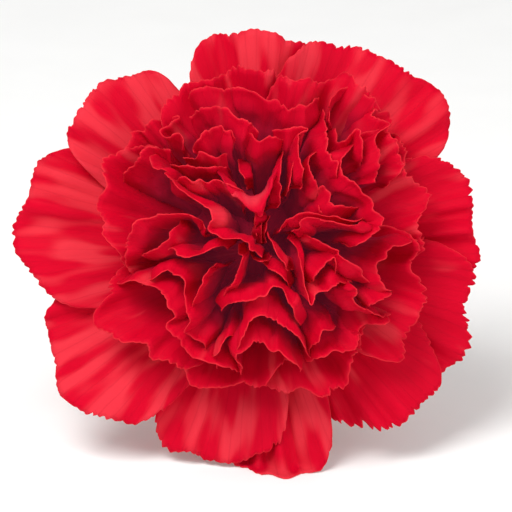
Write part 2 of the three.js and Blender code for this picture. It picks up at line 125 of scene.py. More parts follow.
head_middle = (0.0, -0.045, 0.042)
soft_light("key", (-0.26, -0.46, 0.66), head_middle, size=0.4, power=6.0)
soft_light("fill", (0.60, -0.60, 0.30), head_middle, size=0.8, power=3.6)
room = bpy.data.worlds.new("room")
room.use_nodes = True
room.node_tree.nodes["Background"].inputs["Color"].default_value = (1, 1, 1, 1)
room.node_tree.nodes["Background"].inputs["Strength"].default_value = ROOM_LIGHT
bpy.context.scene.world = room
print("lights:", [item.name for item in bpy.data.lights])


# %% [markdown]
# ## Writing node trees as sums
#
# A material, and a shape made by Geometry Nodes, is a net of small sums. Drawn by hand each sum
# is a box with wires. Here a Wire stands for one output, and Python's own signs add the boxes, so
# that `1 - mask * 0.4` makes the two Math nodes it says.

# %% Wires and benches
class Wire:
    """One output of a node, on which + - * / and ** add Math nodes."""

    def __init__(self, bench, socket):
        self.bench = bench
        self.socket = socket

    def maths(self, operation, *others):
        return self.bench.maths(operation, self, *others)

    def __add__(self, other):
        return self.maths("ADD", other)

    def __sub__(self, other):
        return self.maths("SUBTRACT", other)

    def __rsub__(self, other):
        return self.bench.maths("SUBTRACT", other, self)

    def __mul__(self, other):
        return self.maths("MULTIPLY", other)

    def __truediv__(self, other):
        return self.maths("DIVIDE", other)

    def __rtruediv__(self, other):
        return self.bench.maths("DIVIDE", other, self)

    def __pow__(self, other):
        return self.maths("POWER", other)

    __radd__, __rmul__ = __add__, __mul__


WELD = 0.0005          # points nearer than this become one, in millimetres


class Bench:
    """A node tree to work on. add() makes any node: its settings first, then its sockets."""

    def __init__(self, tree):
        self.tree = tree

    def plug(self, socket, value):
        if isinstance(value, Wire):
            self.tree.links.new(value.socket, socket)
        else:
            socket.default_value = value

    def add(self, kind, settings=None, sockets=None, outlet=0):
        node = self.tree.nodes.new(kind)
        for name, value in (settings or {}).items():
            if name == "curve":
                points = node.mapping.curves[0].points
                while len(points) < len(value):
                    points.new(0.5, 0.5)
                for point, place in zip(points, value):
                    point.location = place
                node.mapping.update()
            else:
                setattr(node, name, value)
        for name, value in (sockets or {}).items():
            self.plug(node.inputs[name], value)
        return Wire(self, node.outputs[outlet])

    def maths(self, operation, *values):
        return self.add("ShaderNodeMath", {"operation": operation}, dict(enumerate(values)))

    def vector_maths(self, operation, *values, outlet=0):
        return self.add("ShaderNodeVectorMath", {"operation": operation}, dict(enumerate(values)),
                        outlet)

    def step(self, low, high, wire):
        """0 below low and 1 above high, with an even S between."""
        return self.add("ShaderNodeMapRange", {"interpolation_type": "SMOOTHSTEP"},
                        {"Value": wire, "From Min": low, "From Max": high})

    def blend(self, share, first, second):
        """Colour first where share is 0 and second where it is 1."""
        return self.add("ShaderNodeMix", {"data_type": "RGBA"}, {0: share, 6: first, 7: second}, 2)

    def attribute(self, name):
        return self.add("ShaderNodeAttribute", {"attribute_name": name}, outlet=2)

    def place(self):
        """Where a point of the piece is in the frame, in metres."""
        return self.add("ShaderNodeTexCoord", outlet=3)

    def noise(self, place, scale, detail, outlet=0, roughness=0.5):
        return self.add("ShaderNodeTexNoise", {}, {
            "Vector": place, "Scale": scale, "Detail": detail, "Roughness": roughness}, outlet)

    def bump(self, relief, strength, distance):
        return self.add("ShaderNodeBump", {}, {
            "Strength": strength, "Distance": distance, "Height": relief})

    def vector(self, x=0.0, y=0.0, z=0.0):
        return self.add("ShaderNodeCombineXYZ", {}, {0: x, 1: y, 2: z})

    def part(self, vector, axis):
        return self.add("ShaderNodeSeparateXYZ", {}, {0: vector}, axis)

    def scaled(self, vector, factor):
        return self.add("ShaderNodeVectorMath", {"operation": "SCALE"}, {0: vector, "Scale": factor})

    def moved(self, shape, offset):
        return self.add("GeometryNodeSetPosition", {}, {"Geometry": shape, "Offset": offset})

    def welded(self, shape):
        return self.add("GeometryNodeMergeByDistance", {}, {"Geometry": shape, "Distance": WELD})


print("wires ready")


# %% [markdown]
# ## From points to a plain mesh
#
# Petals, bracts and leaves are all sheets: rows of points that become a grid of faces, with a few
# values kept on the points for the colours to follow. A second helper runs a Geometry Nodes tree
# on such a sheet and keeps the result as a plain mesh, laid on the table.

# %% Sheets and baking
def sheet_object(name, sheets):
    """One object from several grids. Each grid is (points, {value name: array})."""
    points, faces, values, start = [], [], {}, 0
    for grid, kept in sheets:
        rows, columns = grid.shape[:2]
        at = np.arange(rows * columns).reshape(rows, columns) + start
        faces.append(np.stack([at[:-1, :-1], at[:-1, 1:], at[1:, 1:], at[1:, :-1]], -1).reshape(-1, 4))
        points.append(grid.reshape(-1, 3))
        for key, numbers in kept.items():
            values.setdefault(key, []).append(np.broadcast_to(numbers, (rows, columns)).reshape(-1))
        start += rows * columns
    mesh = bpy.data.meshes.new(name)
    mesh.from_pydata(np.concatenate(points).tolist(), [], np.concatenate(faces).tolist())
    for key, parts in values.items():
        layer = mesh.attributes.new(key, "FLOAT", "POINT")
        layer.data.foreach_set("value", np.concatenate(parts).astype(np.float32))
    made = bpy.data.objects.new(name, mesh)
    bpy.context.scene.collection.objects.link(made)
    return made


SEED = [(np.zeros((2, 2, 3)), {})]  # carries a tree that draws its own shape


def bake(name, sheets, tree, settings):
    """Runs the tree on the sheets and keeps what comes out as a plain mesh on the table."""
    carrier = sheet_object(name, sheets)
    worker = carrier.modifiers.new("shape", "NODES")
    worker.node_group = tree
    for item in tree.interface.items_tree:
        if item.item_type == "SOCKET" and item.in_out == "INPUT" and item.name in settings:
            worker[item.identifier] = settings[item.name]
    graph = bpy.context.evaluated_depsgraph_get()
    mesh = bpy.data.meshes.new_from_object(carrier.evaluated_get(graph), depsgraph=graph,
                                           preserve_all_data_layers=True)
    bpy.data.objects.remove(carrier)
    mesh.name = name
    places = np.empty(len(mesh.vertices) * 3, np.float32)
    mesh.vertices.foreach_get("co", places)
    laid = on_table(places.reshape(-1, 3).astype(float))
    mesh.vertices.foreach_set("co", laid.astype(np.float32).ravel())
    mesh.update()
    made = bpy.data.objects.new(name, mesh)
    bpy.context.scene.collection.objects.link(made)
    print(name, len(mesh.polygons), "faces")
    return made


SOCKETS = {float: "Float", int: "Int", type(None): "Material"}


def new_tree(name, inputs):
    """An empty Geometry Nodes tree with named inputs and a material, its bench and their wires."""
    tree = bpy.data.node_groups.new(name, "GeometryNodeTree")
    tree.interface.new_socket("Geometry", in_out="OUTPUT", socket_type="NodeSocketGeometry")
    tree.interface.new_socket("Geometry", in_out="INPUT", socket_type="NodeSocketGeometry")
    for label, value in {**inputs, "Material": None}.items():
        socket = tree.interface.new_socket(label, in_out="INPUT",
                                           socket_type="NodeSocket" + SOCKETS[type(value)])
        if value is not None:
            socket.default_value = value
    bench = Bench(tree)
    entry = tree.nodes.new("NodeGroupInput")
    wires = {socket.name: Wire(bench, socket) for socket in entry.outputs if socket.name}
    return tree, bench, wires


def close_tree(bench, wire, shape):
    """Smooth faces, real geometry for every instance, the material, and out."""
    smooth_faces = bench.add("GeometryNodeSetShadeSmooth", {}, {"Geometry": shape})
    real = bench.add("GeometryNodeRealizeInstances", {}, {"Geometry": smooth_faces})
    finished = bench.add("GeometryNodeSetMaterial", {}, {
        "Geometry": real, "Material": wire["Material"]})
    leave = bench.tree.nodes.new("NodeGroupOutput")
    bench.plug(leave.inputs["Geometry"], finished)


def slab(bench, sheet, thickness):
    """A closed slab: the sheet is pushed out, and its own faces, turned over, close the back."""
    out = bench.add("GeometryNodeExtrudeMesh", {}, {"Mesh": sheet, "Offset Scale": thickness,
                                                    "Individual": False})
    back = bench.add("GeometryNodeFlipFaces", {}, {"Mesh": sheet})
    both = bench.tree.nodes.new("GeometryNodeJoinGeometry")
    bench.plug(both.inputs[0], out)
    bench.plug(both.inputs[0], back)
    return bench.welded(Wire(bench, both.outputs[0]))


print("helpers ready")

# %% [markdown]
# ## Petal red
#
# A carnation petal is matt satin and deep crimson, with fine veins that fan out from the narrow
# claw, which is pale where it is hidden in the calyx. Deep in the folds the crimson turns darker
# and bluish: painted shade. Coral lies in broad random bands, partly the petal's own colour and
# partly painted sheen: each petal has its own tone and sheen, a high one has more coral, and the
# guard petals on the upper left, where the key light falls, have more than those on the right. A
# painted highlight runs along each thin rim. The colours follow values kept on the petals, so
# bands and veins stay on their petal however it folds. A quarter of the light goes through the
# petal, which keeps the shadows red. Deep in the folds a very faint painted glow stands for light
# that has been through many petals.

# %% Petal material
def new_material(name):
    material = bpy.data.materials.new(name)
    material.use_nodes = True
    material.node_tree.nodes.clear()
    return material, Bench(material.node_tree)


def finish_material(bench, surface):
    output = bench.tree.nodes.new("ShaderNodeOutputMaterial")
    bench.plug(output.inputs["Surface"], surface)


VEIN_STEP = 3.1        # from vein to vein, in degrees of the fan
LIGHT_THROUGH = 0.28   # share of the light that goes through a petal

petal_red, bench = new_material("petal_red")
fan, along, rim = bench.attribute("fan"), bench.attribute("along"), bench.attribute("rim")
tone, shade = bench.attribute("tone"), bench.attribute("shade")
place = bench.place()
fan_place = bench.vector(fan, along * 2.0, tone * 40)
streaks = bench.noise(fan_place, 0.55, 3.0)
broad = bench.noise(bench.vector(fan * 0.16, along * 3.0, tone * 40), 1.0, 1.0)
hairline = bench.noise(fan_place, 2.4, 2.0)
mottle = bench.noise(place, 160.0, 4.0)
vein_bend = fan + (streaks - 0.5) * 1.6
vein = bench.step(0.86, 1.0, (vein_bend * (2 * math.pi / VEIN_STEP)).maths("COSINE"))
light_share = streaks * 0.35 + hairline * 0.15 + mottle * 0.5 - 0.1
red = bench.blend(light_share, (0.54, 0.0003, 0.018, 1), (0.75, 0.002, 0.030, 1))
# Painted sheen: coral in broad random bands, partly the petal's own colour; the tone and sheen value
# makes it stronger on the guard petals to the upper left, where the key light falls.
coral_sheen = bench.step(0.46, 0.64, broad + (tone - 0.6) * 0.3)
red = bench.blend(coral_sheen * 0.7, red, (0.80, 0.048, 0.072, 1))
red = bench.blend(vein * 0.16, red, (0.38, 0.001, 0.016, 1))
# Painted highlight: a patchy lighter band in the last 0.3 mm before every rim, as if the rims catch the
# light.
edge = 1 - bench.step(0.0, 0.3, rim)
red = bench.blend(edge * (mottle * 0.9), red, (0.92, 0.045, 0.06, 1))
# Painted shade: a darker, bluish crimson where the petal lies deep among the others.
red = bench.blend(shade * 0.52, red, (0.28, 0.008, 0.040, 1))
claw = 1 - bench.step(0.05, 0.2, along)
red = bench.blend(claw * 0.7, red, (0.42, 0.22, 0.14, 1))
grain = bench.noise(place, 3800.0, 2.0)
bump = bench.bump(grain * 0.25 + vein * 0.6 + hairline * 0.9, 0.25, 0.0001)
# Painted glow in the shade, standing for light that has been through many petals.
painted_glow = bench.blend(shade, (0, 0, 0, 1), (0.026, 0.004, 0.011, 1))
skin = bench.add("ShaderNodeBsdfPrincipled", {}, {
    "Base Color": red, "Roughness": 0.55 + (hairline - 0.5) * 0.15, "Specular IOR Level": 0.05,
    "Sheen Weight": 0.02, "Sheen Roughness": 0.4, "Sheen Tint": (1, 0.45, 0.5, 1), "Normal": bump,
    "Emission Color": painted_glow, "Emission Strength": 1.0})
lit_through = bench.add("ShaderNodeBsdfTranslucent", {}, {
    "Color": (0.85, 0.003, 0.03, 1), "Normal": bump})
finish_material(bench, bench.add("ShaderNodeMixShader", {}, {
    0: LIGHT_THROUGH, 1: skin, 2: lit_through}))
print("petal_red:", len(petal_red.node_tree.nodes), "nodes")

# %% [markdown]
# ## Two spreading tiers
#
# The bloom is a nest of layers, from the upright heart to the flat ring of guard petals. All of
# them leave the same narrow bundle of claws and flare outwards, the inner ones late and steeply,
# the outer ones early. Along a layer the line is one Bezier curve. The ten guard petals and the
# eight of the tier above them lie on such layers and are placed one by one, as the photograph
# shows them. The lowest one bends where it meets the table and lies flat on it.

# %% Layers
HEAD_RADIUS = 31.0     # reach of the ruffled head
GUARD_SPREAD = 11.0    # how much further the guard petals reach
HEAD_HEIGHT = 30.0     # rims of the heart petals above the calyx mouth
HEART_LEAN = (0.85, 2.55)  # how far the middle of the heart stands off the axis
CLAW_RADIUS = 5.6      # bundle of claws at the calyx mouth
REST_LAYER = 0.972     # a layer from here on out lies on the table itself
REST_FLOOR = 0.26      # height of the middle of a petal that lies flat
REST_STACK = 40.0      # how much higher the layers within that one lie
REST_BEND = 1.2        # how gently a petal bends where it meets the table


def claw_out(v):
    return 1 + (CLAW_RADIUS - 1) * v


def ankle(v):
    """Distance from the axis and height where a petal leaves the bundle of claws."""
    return claw_out(v) + 0.4 * v, 13 - 8.5 * v * v


def rim_up(v):
    return HEAD_HEIGHT - 9 * v ** 2 - 19 * v ** 6


def layer_point(u, v, angle):
    """Radius and height on a layer, for shares u along it from 0 at the claw to 1 at the rim.

    The rim end leans further out on the outer layers, and unevenly round the bloom."""
    rim_out = 1 + (HEAD_RADIUS - 1) * v + GUARD_SPREAD * v ** 8
    ripple = 20 * np.sin(3 * angle + 1) + 22 * np.sin(7 * angle + 2) - 8 * np.sin(angle)
    steep = np.radians(68 - 30 * v - 52 * v ** 5 + 4 * v * (1 - v) * ripple)
    reach = 9 + 4 * v
    w = 1 - u
    near, far = 3 * u * w * w, 3 * u * u * w
    ankle_out, ankle_up = ankle(v)
    radius = (w ** 3 * claw_out(v) + near * ankle_out + far * (rim_out - reach * np.cos(steep))
              + u ** 3 * rim_out)
    height = near * ankle_up + far * (rim_up(v) - reach * np.sin(steep)) + u ** 3 * rim_up(v)
    return radius, height


def wave_outer(x, y, z):
    """The heart leans a little, and long waves lift and drop the spreading petals."""
    lean = smooth(4, 30, z)
    x, y = x + HEART_LEAN[0] * lean, y + HEART_LEAN[1] * lean
    angle, far = np.arctan2(y, x), smooth(16, 42, np.hypot(x, y))
    waves = 1.3 * np.sin(5 * angle + 0.6) + np.sin(8 * angle + 2.1) + 0.5 * np.sin(13 * angle + 1)
    return x, y, z + far * waves


def lay_on_table(x, y, z, layer):
    """Bends what would reach below the table, so that it lies flat and points forwards."""
    floor = REST_FLOOR + REST_STACK * np.maximum(0, REST_LAYER - layer)
    above = y * math.cos(TILT) + z * math.sin(TILT) + MOUTH - floor
    bent = np.where(above <= -REST_BEND, 0, (above + REST_BEND) ** 2 / (4 * REST_BEND))
    lift = np.where(above >= REST_BEND, 0, bent - above)
    slide = 0.7 * lift
    return (x, y + lift * math.cos(TILT) - slide * math.sin(TILT),
            z + lift * math.sin(TILT) + slide * math.cos(TILT))


GUARDS = [  # angle, half width, layer, length share, depth of the teeth
    (138, 23, 0.975, 0.99, 0.3), (174, 29, 0.978, 1.035, 0.6), (217, 28, 0.975, 1.03, 0.7),
    (259, 24, 0.975, 0.955, 1.0), (278, 19, 0.975, 1.04, 0.6), (316, 25, 0.975, 0.975, 1.3),
    (342, 23, 0.975, 1.0, 1.2), (11, 23, 0.975, 0.975, 0.8), (54, 31, 0.975, 1.03, 0.8),
    (93, 24, 0.975, 0.96, 0.7)]
SECONDS = [
    (106, 30, 0.865, 0.99, 0.7), (64, 29, 0.875, 1.0, 0.8), (24, 31, 0.86, 0.97, 0.7),
    (340, 31, 0.865, 0.97, 0.8), (300, 32, 0.85, 0.92, 0.7), (259, 33, 0.835, 0.88, 0.6),
    (217, 31, 0.85, 0.96, 0.8), (165, 35, 0.845, 0.96, 0.5)]

# Partly painted sheen: higher on the guard petals to the upper left, where the key light falls, lower
# on the right.
CORAL_SHEEN = [0.95, 0.6, 0.85, 0.5, 0.7, 0.2, 0.1, 0.25, 0.5, 0.75]  # coral of each guard petal, own colour and painted sheen
CORAL_SHEEN += [0.6 * spread(n, 31) for n in range(len(SECONDS))]
petals = []
for tier, slope, ruffle, roundness, shaded, fold in (
        (GUARDS, 0.02, 0.003, 0.42, 0.0, 1.0), (SECONDS, 0.035, 0.016, 0.36, 0.35, 0.7)):
    for angle, half, layer, share, teeth in tier:
        petals.append(dict(angle=angle, half=half, layer=layer, share=share, teeth=teeth, slope=slope,
                           ruffle=ruffle, round=roundness, shaded=shaded, fold=fold))
print(len(petals), "spreading petals")

# %% [markdown]
# ## One spreading petal
#
# A petal is narrow at its claw and round in outline, its rim is cut into small uneven teeth, it
# ruffles a little between its neighbours, and a few soft folds spread over it like those of a fan.
# Each point also keeps a few values for the colours: its place across and along the petal, the way
# to the rim, the petal's tone and painted sheen, and how deep it lies in painted shade.

# %% Drawing a spreading petal
TEETH_DEPTH = 1.3      # cut of a full tooth in millimetres, where the petal's share is 1
TEETH_MEAN = 0.35      # share of a full tooth by which the rim stands out past the outline
FOLDS = 4.2            # fan folds across a petal
RADIAN = 57.3          # degrees in one, near enough for a width


def notch_wave(x):
    return np.abs((x % 1.0) - 0.5) * 2


def teeth_along(way, n):
    """How deep the rim is cut, 0 to 1, at a way along it in millimetres."""
    patchy = np.clip(0.6 + 0.7 * np.sin(0.41 * way + n) * np.sin(0.23 * way + 2 * n), 0.3, 1.3)
    cuts = 0
    for width, depth in ((2.3, 0.55), (1.15, 0.6)):
        place = way / width + 0.35 * np.sin(0.8 * way + n)
        tooth = np.floor(place)
        chance = (np.sin(tooth * 12.9898 + n * 78.233) * 43758.5453) % 1.0
        cuts = cuts + depth * (0.25 + chance) * notch_wave(place)
    return patchy * cuts


def fan_folds(t, n, count):
    """Soft uneven folds that spread like a fan's, -1 to 1, over the width t of a petal."""
    place = t * count / 2 + 0.3 * np.sin(3.3 * t + 6 * spread(n, 12)) + spread(n, 13)
    rise = 0.35 + 0.3 * spread(n, 14)
    saw = place % 1.0
    slope = np.where(saw < rise, saw / rise, (1 - saw) / (1 - rise))
    return np.sin((slope - 0.5) * math.pi) * (0.55 + 0.45 * np.sin(2.7 * t + 6 * spread(n, 16)))


def way_to_rim(grid):
    step = np.linalg.norm(np.diff(grid, axis=0), axis=-1)
    return np.concatenate([np.cumsum(step[::-1], axis=0)[::-1], np.zeros((1, grid.shape[1]))])


def spreading_petal(n, columns, rows):
    shape = petals[n]
    t = np.linspace(-1, 1, columns)[None, :]
    s = np.linspace(0, 1, rows)[:, None]
    size = HEAD_RADIUS + 10 * shape["layer"] ** 8
    outline = (1 - shape["round"] + shape["round"] * np.sqrt(np.clip(1 - np.abs(t) ** 2.8, 0, 1))
               + 0.025 * np.sin(4 * t + 6 * spread(n, 5)) + 0.015 * np.sin(9 * t + 6 * spread(n, 15)))
    width = t * shape["half"] * size * 0.9 / RADIAN
    notch = TEETH_DEPTH * shape["teeth"] ** 0.6 * (teeth_along(width, n) - TEETH_MEAN) / size
    u = s * (shape["share"] * outline - notch * smooth(0.6, 1, s))
    calm = 1 - 0.6 * t ** 4
    long_wave = math.pi * (1.6 + 1.6 * spread(n, 6)) * t + 2 * math.pi * spread(n, 8)
    short_wave = math.pi * (3.6 + 2.5 * spread(n, 7)) * t + 2 * math.pi * spread(n, 9)
    ruffle = calm * (np.sin(long_wave) + 0.6 * np.sin(short_wave))
    layer = shape["layer"] - shape["slope"] * t + shape["ruffle"] * u ** 1.5 * ruffle
    angle = np.radians(shape["angle"] + shape["half"] * t * (0.38 + 0.62 * smooth(0.05, 0.6, u)))
    radius, height = layer_point(u, np.clip(layer, 0, 1.05), angle)
    height = height + shape["fold"] * smooth(0.45, 1, u) * fan_folds(t, n, FOLDS)
    x, y, z = wave_outer(radius * np.cos(angle), radius * np.sin(angle), height)
    grid = np.stack(lay_on_table(x, y, z, layer), -1)
    to_rim = way_to_rim(grid)
    # Painted shade on the second tier, darker further below the rim; the coral value is partly painted
    # sheen.
    kept = {"fan": shape["half"] * t, "along": u, "rim": to_rim, "tone": CORAL_SHEEN[n],
            "shade": shape["shaded"] * smooth(2, 14, to_rim)}
    return grid, kept


grid, kept = spreading_petal(0, 41, 21)
print("first guard petal, length in millimetres:", round(float(kept["rim"][0, 20]), 1))

# %% [markdown]
# ## The folded petals of the head
#
# In a double carnation far more petals than a ring can hold are pressed into the middle, and each
# buckles in its own way. No rule gives these folds, so they are drawn: for every petal the bends
# of its rim, as one sees them from the front, in millimetres from the axis. The rim stands on the
# domed front of the head. The blade hangs from it, steep near the heart and leaning further out.
# Its last millimetre curls over and catches the light, and small waves and teeth run along it.

# %% Rims of the head
FOLDED = [  # height over its layer, steepness below the rim if not its layer's, bends of the rim
    (-1, [(-24, 13.4), (-23.6, 15.6), (-21.1, 19.9), (-19.6, 20.4), (-18, 21.4), (-13.1, 22.4),
     (-16.3, 20.1), (-15.3, 18.9), (-13.4, 19.6), (-11.4, 15.5)]),
    (0, [(-24.7, 10.7), (-20.7, 15.1), (-18.7, 17.5), (-15.1, 16.5)]),
    (1.5, [(-16.8, 16.8), (-18, 15.5), (-18.2, 13.8), (-17, 13.1), (-15.8, 13.6), (-15.5, 12.2),
     (-9.7, 7.8), (-8, 5.6), (-8, 2.7), (-2.4, 1), (0.9, -1.4)]),
    (0, [(-22.3, -3.2), (-22.8, -1.2), (-21.9, 2.2), (-20.1, 4.8), (-13.9, 6), (-9.7, 4.9),
     (-8.3, 3.6)]),
    (-0.5, [(-12.8, 5.3), (-15.5, 1.4), (-19.9, -1.2)]),
    (0, [(-15.5, -0.5), (-13.8, 0), (-11.7, -1.2), (-6.6, 0.3), (-4.9, -0.5)]),
    (0, [(-24.7, -4.6), (-23.3, -5.8), (-20.2, -5.4), (-15.1, -8.5), (-14.1, -11.2), (-14.6, -12.6),
     (-11.6, -18), (-3.1, -21.2)]),
    (-1, [(-19.9, -6.3), (-15.1, -4.2), (-12.1, -6), (-11.9, -10.4), (-11.4, -12.4), (-12.1, -14.3),
     (-9.4, -16.2), (-8.5, -19.2)]),
    (1, [(-2.7, -21.6), (-3.4, -18), (1, -16.3), (7.1, -19.9), (7.3, -21.2)]),
    (0.5, [(-4.1, -18.2), (-0.7, -12.1), (2.2, -11.4), (6.6, -14.5), (9.5, -18.5)]),
    (-1, [(-7, -20.6), (-7.1, -18.5), (-5.3, -15.5), (-3.9, -15.1), (-3.2, -16.5)]),
    (0, [(-6, -10.7), (-4.9, -9.7), (1, -8), (3.9, -7.1), (7.5, -13.1)]),
    (0, [(5.3, 1.5), (6.5, -0.2), (8.8, -9.2), (10.5, -7.3), (15.1, -5.6), (16.3, -6)]),
    (0, [(15.1, -4.6), (17, -7.1), (16.7, -8.7), (17.5, -10), (21.1, -11.4), (23, -11.1)]),
    (0, [(26, -10.2), (22.8, -11.7), (22.3, -12.9), (17.7, -13.4), (18, -15), (17.5, -16.2),
     (14.1, -17.7), (8.3, -19.2)]),
    (-0.5, [(13.8, -13.4), (10.5, -14.6), (9, -18.9)]),
    (0, [(29.4, 1.9), (25.8, 1), (21.6, -0.9), (20.7, -3.7), (22.1, -6.8), (23, -7.7), (18.5, -9.9),
     (17.2, -9)]),
    (0.5, [(16.5, 18.5), (14.1, 14.8), (15.5, 11.7), (17.2, 10.5), (21.2, 4.8), (16.7, 0.3),
     (15, 0.7)]),
    (0.3, [(3.7, 2.9), (5.1, 5.4), (10.2, 5.8), (16.2, 4.6), (17.9, 5.1), (19.2, 4.6)]),
    (0.2, [(7.3, 2.6), (12.6, 0.2), (20.2, -6.3)]),
    (-0.5, [(11.4, 16.8), (8.8, 15.5), (10.2, 10.7), (11.6, 10.2), (13.9, 7.5), (17.2, 6.6)]),
    (0, [(-2.4, 19.7), (2.4, 18.7), (5.4, 19.4)]),
    (0.5, [(2.6, 20.1), (8, 20.7), (8.5, 19.9), (7, 18.4), (7.7, 12.6), (7.3, 10.4)]),
    (1, [(-13.1, 25.3), (-8.8, 27.7), (-5.3, 27), (-2.9, 27.5), (6.8, 24.1), (10.7, 25.8)]),
    (1, [(-11.4, 22.3), (-8.3, 24.3), (-3.2, 22.4), (0.2, 19.6)]),
    (1.5, [(12.6, 22.3), (12.8, 24.7), (15.3, 27.7), (21.2, 24.3), (19.9, 23.3), (19.9, 22.3),
     (22.8, 21.2), (20.4, 18.9), (20.9, 14.3), (20.4, 11.4)]),
    (-1, [(13.4, 20.6), (13.9, 18.5), (16.8, 20.1), (17.9, 18.5), (17.5, 13.4)]),
    (-1, [(11.1, 23.6), (11.9, 21.1), (11.7, 18.5), (14.3, 10.9)]),
    (0, [(-10.7, 16.5), (-10.4, 18.2), (-8.5, 20.2), (-6.1, 20.6), (-5.3, 19.9), (-4.2, 19.7),
     (-3.9, 16.8)]),
    (0, [(-12.4, 15.1), (-8.8, 15.8), (-4.9, 15.8)]),
    (0.3, [(-14.5, 14.3), (-8.7, 13.8), (-4.8, 13.8)]),
    (0.5, [(-15.1, 12.2), (-13.8, 11.6), (-12.4, 12.1), (-11.1, 11.6), (-9.7, 12.1), (-8.5, 11.4),
     (-7.1, 11.6), (-2.9, 9.9), (-1.7, 8.2)]),
    (-0.5, 200, [(-4.2, 11.7), (0.3, 5.4), (2.9, 11.1)]),
    (-0.5, [(1.9, 2.6), (4.4, -2.9), (6.8, -3.9)]),
    (0.2, [(-3.2, 0.9), (-3.2, -2.6), (-5.6, -8.3)]),
    (0, [(-6.8, -2.2), (-8.7, -4.1), (-11.2, -10.7)]),
    (0, [(8.3, -6.5), (12.9, -1.7), (13.3, -4.9)]),
    (-1, [(0.2, -2.2), (4.6, -5.3), (5.6, -7)]),
    (-1, [(4.2, 16.8), (4.1, 9.2), (3.2, 7)]),
    (-1, [(10.4, 9), (11.2, 6), (12.4, 5.3)]),
]
TINY = [  # the small ones between them, which the CAD model leaves to its packed core
    (1.2, 120, [(5.6, 3.1), (7.3, 3.4), (8.7, 4.8), (15.8, 3.7), (17.2, 4.6), (18.9, 4.8)]),
    (-2, 86, [(-0.9, 7.3), (-0.3, 4.9), (0, 2.2)]),
    (-3, 86, [(0.5, 5.6), (0.9, 3.4), (0.9, 1)]),
    (-2, 86, [(1.9, 5.3), (1.5, 3.2), (1.9, 1)]),
    (-2, 86, [(-1.7, -0.5), (-0.2, -2.2), (1.5, -2.2), (2.6, -0.9)]),
    (-1.5, 88, [(6.6, 17.2), (5.8, 11.4), (4.6, 8.7)]),
    (-3, 88, [(-2.9, 15.1), (-2.2, 12.6), (-1.7, 10)]),
    (-0.5, [(23, 20.2), (24.3, 19.7), (25.8, 16.3), (22.6, 10.7)]),
    (-2, [(18.4, 6.6), (19.6, 4.8), (17.5, 1.5)]),
]
print(len(FOLDED), "folded petals and", len(TINY), "tiny ones")


# %% Drawing a folded petal
FOLD_DEPTH = 12.0      # steep part of a folded petal below its rim
RIM_DROP = 4.0         # both ends of a rim dip this far
CURL = 1.4             # how far the rim curls outwards
WAVE = 0.20            # small waves along the rim
RIM_TEETH = 0.022      # cut of a full tooth, as a share of the petal's length
COLUMN = 0.22          # width of a column of faces


def through(points, share):
    """A smooth line through the points, read at shares from 0 to 1."""
    places = np.array(points, float)
    places = np.vstack([2 * places[0] - places[1], places, 2 * places[-1] - places[-2]])
    at = share * (len(points) - 1)
    k = np.minimum(at.astype(int), len(points) - 2)
    w = (at - k)[:, None]
    a, b, c, d = places[k], places[k + 1], places[k + 2], places[k + 3]
    return 0.5 * (2 * b + (c - a) * w + (2 * a - 5 * b + 4 * c - d) * w ** 2
                  + (3 * b - a - 3 * c + d) * w ** 3)


def drawn_smooth(points, share):
    """The calm line that the points pull on, without their bends."""
    hull = np.repeat(np.array(points, float)[:, None, :], len(share), axis=1)
    w = share[None, :, None]
    while len(hull) > 1:
        hull = hull[:-1] * (1 - w) + hull[1:] * w
    return hull[0]


def unit(vectors):
    return vectors / np.maximum(np.linalg.norm(vectors, axis=-1, keepdims=True), 1e-6)


